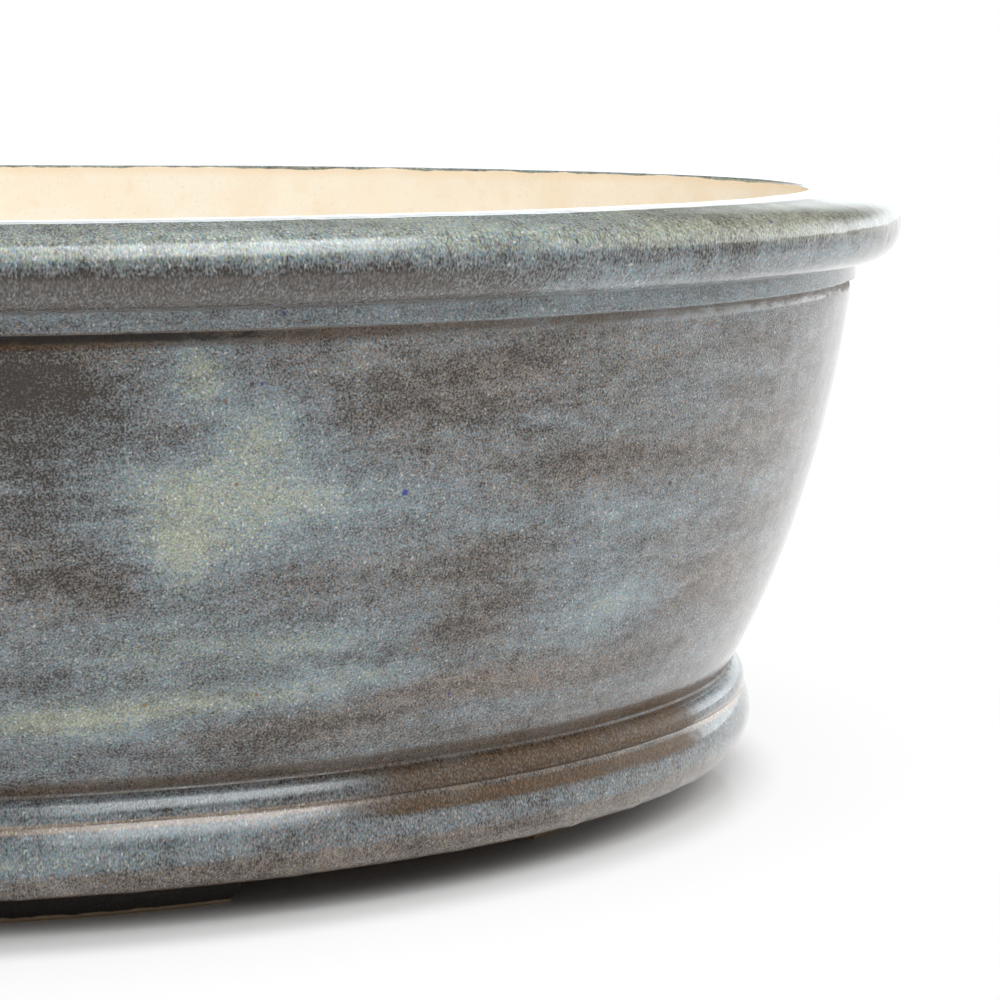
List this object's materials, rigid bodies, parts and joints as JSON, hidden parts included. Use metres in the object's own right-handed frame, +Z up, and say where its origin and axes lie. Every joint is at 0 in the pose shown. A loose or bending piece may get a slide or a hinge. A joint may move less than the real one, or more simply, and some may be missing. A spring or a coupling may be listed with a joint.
{
  "type": "oval bonsai pot",
  "caption": "Shallow oval bonsai pot with a heavy rolled lip, a belt moulding round its foot, drainage and tie wire holes, and low cut feet.",
  "frame": {"origin": "on the ground under the middle of the pot, in the plane of the feet", "axes": "+X along the pot's length, +Y across it, +Z up; the pictured side faces -Y"},
  "size_m": [0.296, 0.236, 0.09],
  "materials": {
    "glaze": "glossy dark brown-grey glaze with a dense speckle of pale blue, teal and yellow-green in clouds",
    "bare_clay": "unglazed cream stoneware, matt and slightly grainy"
  },
  "bodies": {
    "root": {"lip_roll": "glaze", "rim_band": "glaze", "wall": "glaze", "belt_bead": "glaze", "belt_roll": "glaze", "base_slab": "bare_clay", "foot_right": "glaze", "foot_back": "glaze", "foot_left": "glaze", "foot_front": "glaze"}
  },
  "joints": []
}
